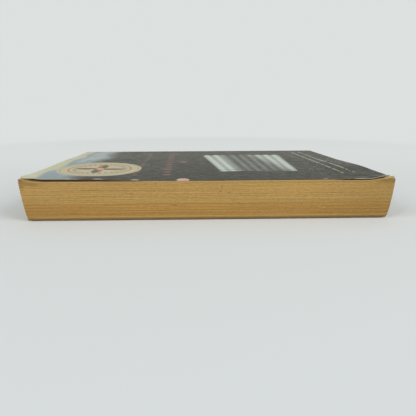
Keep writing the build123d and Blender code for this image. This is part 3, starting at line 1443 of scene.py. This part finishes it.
@dataclass
class SpineCard:
    """The card round the rolled spine, from one panel's seam to the other's."""

    shape: BookShape
    front: CoverPanel
    back: CoverPanel
    columns: int = 48
    rows: int = 46
    corner_radius: float = 0.8 * MM
    corner_points: int = 9
    back_points: int = 30
    end_wear: float = 0.9 * MM
    bend_wear: float = 0.7 * MM
    run_step: float = 0.02 * MM

    def back_y(self, z: Numbers) -> Numbers:
        """Return where the back of the spine is across the book at a height."""
        shape = self.shape
        return shape.front_y + shape.leaf_width + shape.spine_build + shape.roll_at(z)

    def path(self) -> np.ndarray:
        """Follow the outside of the card round the spine.

        Returns:
            Places across and up the book, from the top seam to the bottom one.
        """
        shape, radius = self.shape, self.corner_radius
        quarter = np.linspace(0, 1, self.corner_points)
        top_angle = (1 - quarter) * math.pi / 2
        top_centre = (self.back_y(shape.thickness - radius) - radius, shape.thickness - radius)
        top = np.column_stack((np.cos(top_angle), np.sin(top_angle))) * radius + top_centre
        lean = math.atan(2 * shape.roll / shape.thickness)
        foot_z = radius * (1 + math.sin(lean))
        foot_centre = (self.back_y(foot_z) - radius * math.cos(lean), radius)
        foot_angle = lean - quarter * (lean + math.pi / 2)
        foot = np.column_stack((np.cos(foot_angle), np.sin(foot_angle))) * radius + foot_centre
        heights = np.linspace(shape.thickness - radius, foot_z, self.back_points)[1:-1]
        back = np.column_stack((self.back_y(heights), heights))
        seams = ((self.front.seam_y, shape.thickness), (self.back.seam_y, 0.0))
        return np.vstack((seams[:1], top, back, foot, seams[1:]))

    def build(self, printed: Material, inside: Material, cut: Material) -> Piece:
        """Model the card flat, then bend it round the spine and dress it.

        Args:
            printed: The finish of its outer face.
            inside: The finish of its inner face.
            cut: The finish of its cut ends.

        Returns:
            The piece.
        """
        shape = self.shape
        path = self.path()
        lengths = np.concatenate(([0], np.cumsum(np.hypot(*np.diff(path, axis=0).T))))
        spans = (shape.ends, (0, lengths[-1]), (0, shape.card))
        piece, step, normals = add_grid_box("spine_card", spans, (self.columns, self.rows, 0))
        faces = np.select((normals[:, 2] > 0.5, normals[:, 2] < -0.5), (0, 1), 2)
        along = np.interp(step[:, 1] / (self.rows + 1), np.linspace(0, 1, len(lengths)), lengths)
        place, ahead, behind = (
            np.column_stack([np.interp(at, lengths, path[:, axis]) for axis in (0, 1)])
            for at in (along, along + self.run_step, along - self.run_step)
        )
        run = ahead - behind
        run /= np.hypot(run[:, 0], run[:, 1])[:, None]
        inward = np.column_stack((run[:, 1], -run[:, 0]))
        place = place + inward * ((1 - step[:, 2]) * shape.card)[:, None]
        x = shape.along(step[:, 0], place[:, 1])
        from_end = np.minimum(*shape.from_ends(x, place[:, 1]))
        bend = 1 + self.corner_points // 2
        from_bend = np.minimum(np.abs(along - lengths[bend]), np.abs(along - lengths[-1 - bend]))
        rub = np.maximum(np.exp(-from_end / self.end_wear), 0.62 * np.exp(-from_bend / self.bend_wear))
        move_points(piece, np.column_stack((x, place)))
        set_attribute(piece, "rub", np.clip(rub, 0, 1))
        dress(piece, (printed, inside, cut), faces)
        smooth_by_angle(piece, 40)
        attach(piece, "book_block")
        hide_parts("spine_cover")
        report(piece)
        return piece


# The studio


@dataclass(frozen=True)
class Studio:
    """A pale floor, soft light and a camera where the photograph was taken from."""

    eye: tuple[float, float, float] = (-0.010799, -0.200686, 0.050445)
    yaw: float = math.radians(1.061)
    pitch: float = math.radians(21.026)
    roll: float = math.radians(-0.236)
    focal_share: float = 0.74998
    shift: tuple[float, float] = (0.03652, 0.0542)
    sensor: float = 36.0
    floor_radius: float = 3.0
    floor_drop: float = 0.05 * MM
    fade_around: tuple[float, float] = (190.0, 520.0)
    glow_behind: tuple[float, float] = (-60.0, 190.0)
    floor_colour: Colour = (0.71, 0.735, 0.74)
    background: Colour = (0.72, 0.75, 0.735)
    warm: Colour = (0.73, 0.735, 0.66)
    sky: float = 0.62
    reflected_span: tuple[float, float] = (0.05, 0.26)
    reflected: tuple[float, float] = (1.75, 0.36)
    lamp_size: float = 0.6
    lamps: tuple[tuple[str, tuple[float, float, float], float], ...] = (
        ("right_window", (0.80, -0.50, 0.58), 6.3),
        ("left_window", (-0.80, -0.45, 0.58), 4.7),
    )

    def place_camera(self) -> None:
        """Put the camera where it shows the photograph's view."""
        data = bpy.data.cameras.new("camera")
        data.sensor_width = self.sensor
        data.lens = self.focal_share * self.sensor
        data.shift_x, data.shift_y = self.shift
        data.clip_start = 0.01
        camera = bpy.data.objects.new("camera", data)
        bpy.context.scene.collection.objects.link(camera)
        turn = Matrix.Rotation(-self.yaw, 4, "Z") @ Matrix.Rotation(math.pi / 2 - self.pitch, 4, "X")
        camera.matrix_world = Matrix.Translation(self.eye) @ turn @ Matrix.Rotation(self.roll, 4, "Z")
        bpy.context.scene.camera = camera

    def lay_floor(self) -> None:
        """Lay a pale floor that fades into the background and glows brighter behind the book, as painted
        light.
        """
        clear_selection()
        below = (0, 0, -self.floor_drop)
        bpy.ops.mesh.primitive_circle_add(
            vertices=96, radius=self.floor_radius, fill_type="NGON", location=below
        )
        floor = bpy.context.active_object
        floor.name = "floor"
        graph = Graph.of_material("floor")
        x, y, _ = graph.place()
        # Painted light: the floor glows brighter from just behind the book, as a pool of light; far off it
        # fades into the background
        far = graph.length(x, y).rise(*self.fade_around).most(y.rise(*self.glow_behind) * 0.8)
        pale = graph.node("ShaderNodeBsdfDiffuse", {"Color": (*self.floor_colour, 1)})
        glow = graph.node("ShaderNodeEmission", {"Color": (*self.background, 1), "Strength": 1.0})
        blend = graph.node("ShaderNodeMixShader", [far, pale, glow])
        graph.node("ShaderNodeOutputMaterial", [blend])
        floor.data.materials.append(graph.owner)

    def light(self) -> None:
        """Light the book with a pale sky and two large soft lamps."""
        graph = Graph(bpy.data.worlds.new("studio"))
        bpy.context.scene.world = graph.owner
        direction = graph.node("ShaderNodeTexCoord", output="Generated")
        height = graph.node("ShaderNodeSeparateXYZ", [direction], output="Z")
        strength = graph.node("ShaderNodeMapRange", [height, *self.reflected_span, *self.reflected])
        sky = graph.node("ShaderNodeBackground", {"Color": (*self.background, 1), "Strength": self.sky})
        mirrored = graph.node("ShaderNodeBackground", {"Color": (*self.warm, 1), "Strength": strength})
        shown = graph.node("ShaderNodeBackground", {"Color": (*self.background, 1)})
        glossy = graph.node("ShaderNodeLightPath", output="Is Glossy Ray")
        lit = graph.node("ShaderNodeMixShader", [glossy, sky, mirrored])
        seen = graph.node("ShaderNodeLightPath", output="Is Camera Ray")
        blend = graph.node("ShaderNodeMixShader", [seen, lit, shown])
        graph.node("ShaderNodeOutputWorld", [blend])
        for name, place, watts in self.lamps:
            self.add_lamp(name, place, watts)

    def add_lamp(self, name: str, place: tuple[float, float, float], watts: float) -> None:
        """Add a large square lamp that points at the book.

        Args:
            name: The lamp's name.
            place: Where it stands.
            watts: Its power.
        """
        data = bpy.data.lights.new(name, "AREA")
        data.size = self.lamp_size
        data.energy = watts
        lamp = bpy.data.objects.new(name, data)
        bpy.context.scene.collection.objects.link(lamp)
        aim = (-Vector(place)).to_track_quat("-Z", "Y").to_matrix().to_4x4()
        lamp.matrix_world = Matrix.Translation(place) @ aim


def main() -> None:
    """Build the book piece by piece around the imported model."""
    logging.basicConfig(level=logging.INFO, format="%(message)s")
    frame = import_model()
    bpy.context.scene.view_settings.view_transform = "Standard"
    shape = BookShape.from_frame(frame)

    studio = Studio()
    studio.place_camera()
    studio.lay_floor()
    studio.light()

    edge = LeafEdge().material()
    page = PageFace().material(shape)
    inside = BareCard().material()
    cut = CutEdge().material()

    block = LeafBlock(shape)
    block.build(edge, page)
    LooseLeaves(block).build(edge, page)

    # The back card's cut edge is painted dark olive as contact shade along the foot, where it meets the
    # floor
    foot_shade_olive, foot_shade_dusty = (0.075, 0.062, 0.04), (0.12, 0.10, 0.06)
    back_cut = CutEdge("back_cut", grime=foot_shade_olive, bare=foot_shade_dusty, printed=foot_shade_olive, tail_maroon=foot_shade_olive).material()
    panels = {
        Side.FRONT: CoverPanel(shape, Side.FRONT, corner_radii=(4.4 * MM, 7.0 * MM)),
        Side.BACK: CoverPanel(shape, Side.BACK),
    }
    for side, panel in panels.items():
        printed = PrintedCard().material(f"{side.value}_print", shape, side)
        panel.build(printed, inside, cut if side is Side.FRONT else back_cut)
    spine_print = PrintedCard().material("spine_print", shape, Side.SPINE)
    SpineCard(shape, panels[Side.FRONT], panels[Side.BACK]).build(spine_print, inside, cut)

    glue = frame["nodes"]["spine_glue"]
    glue.data.materials.clear()
    glue.data.materials.append(HotMelt().material())
    report(glue)


if __name__ == "__main__":
    main()
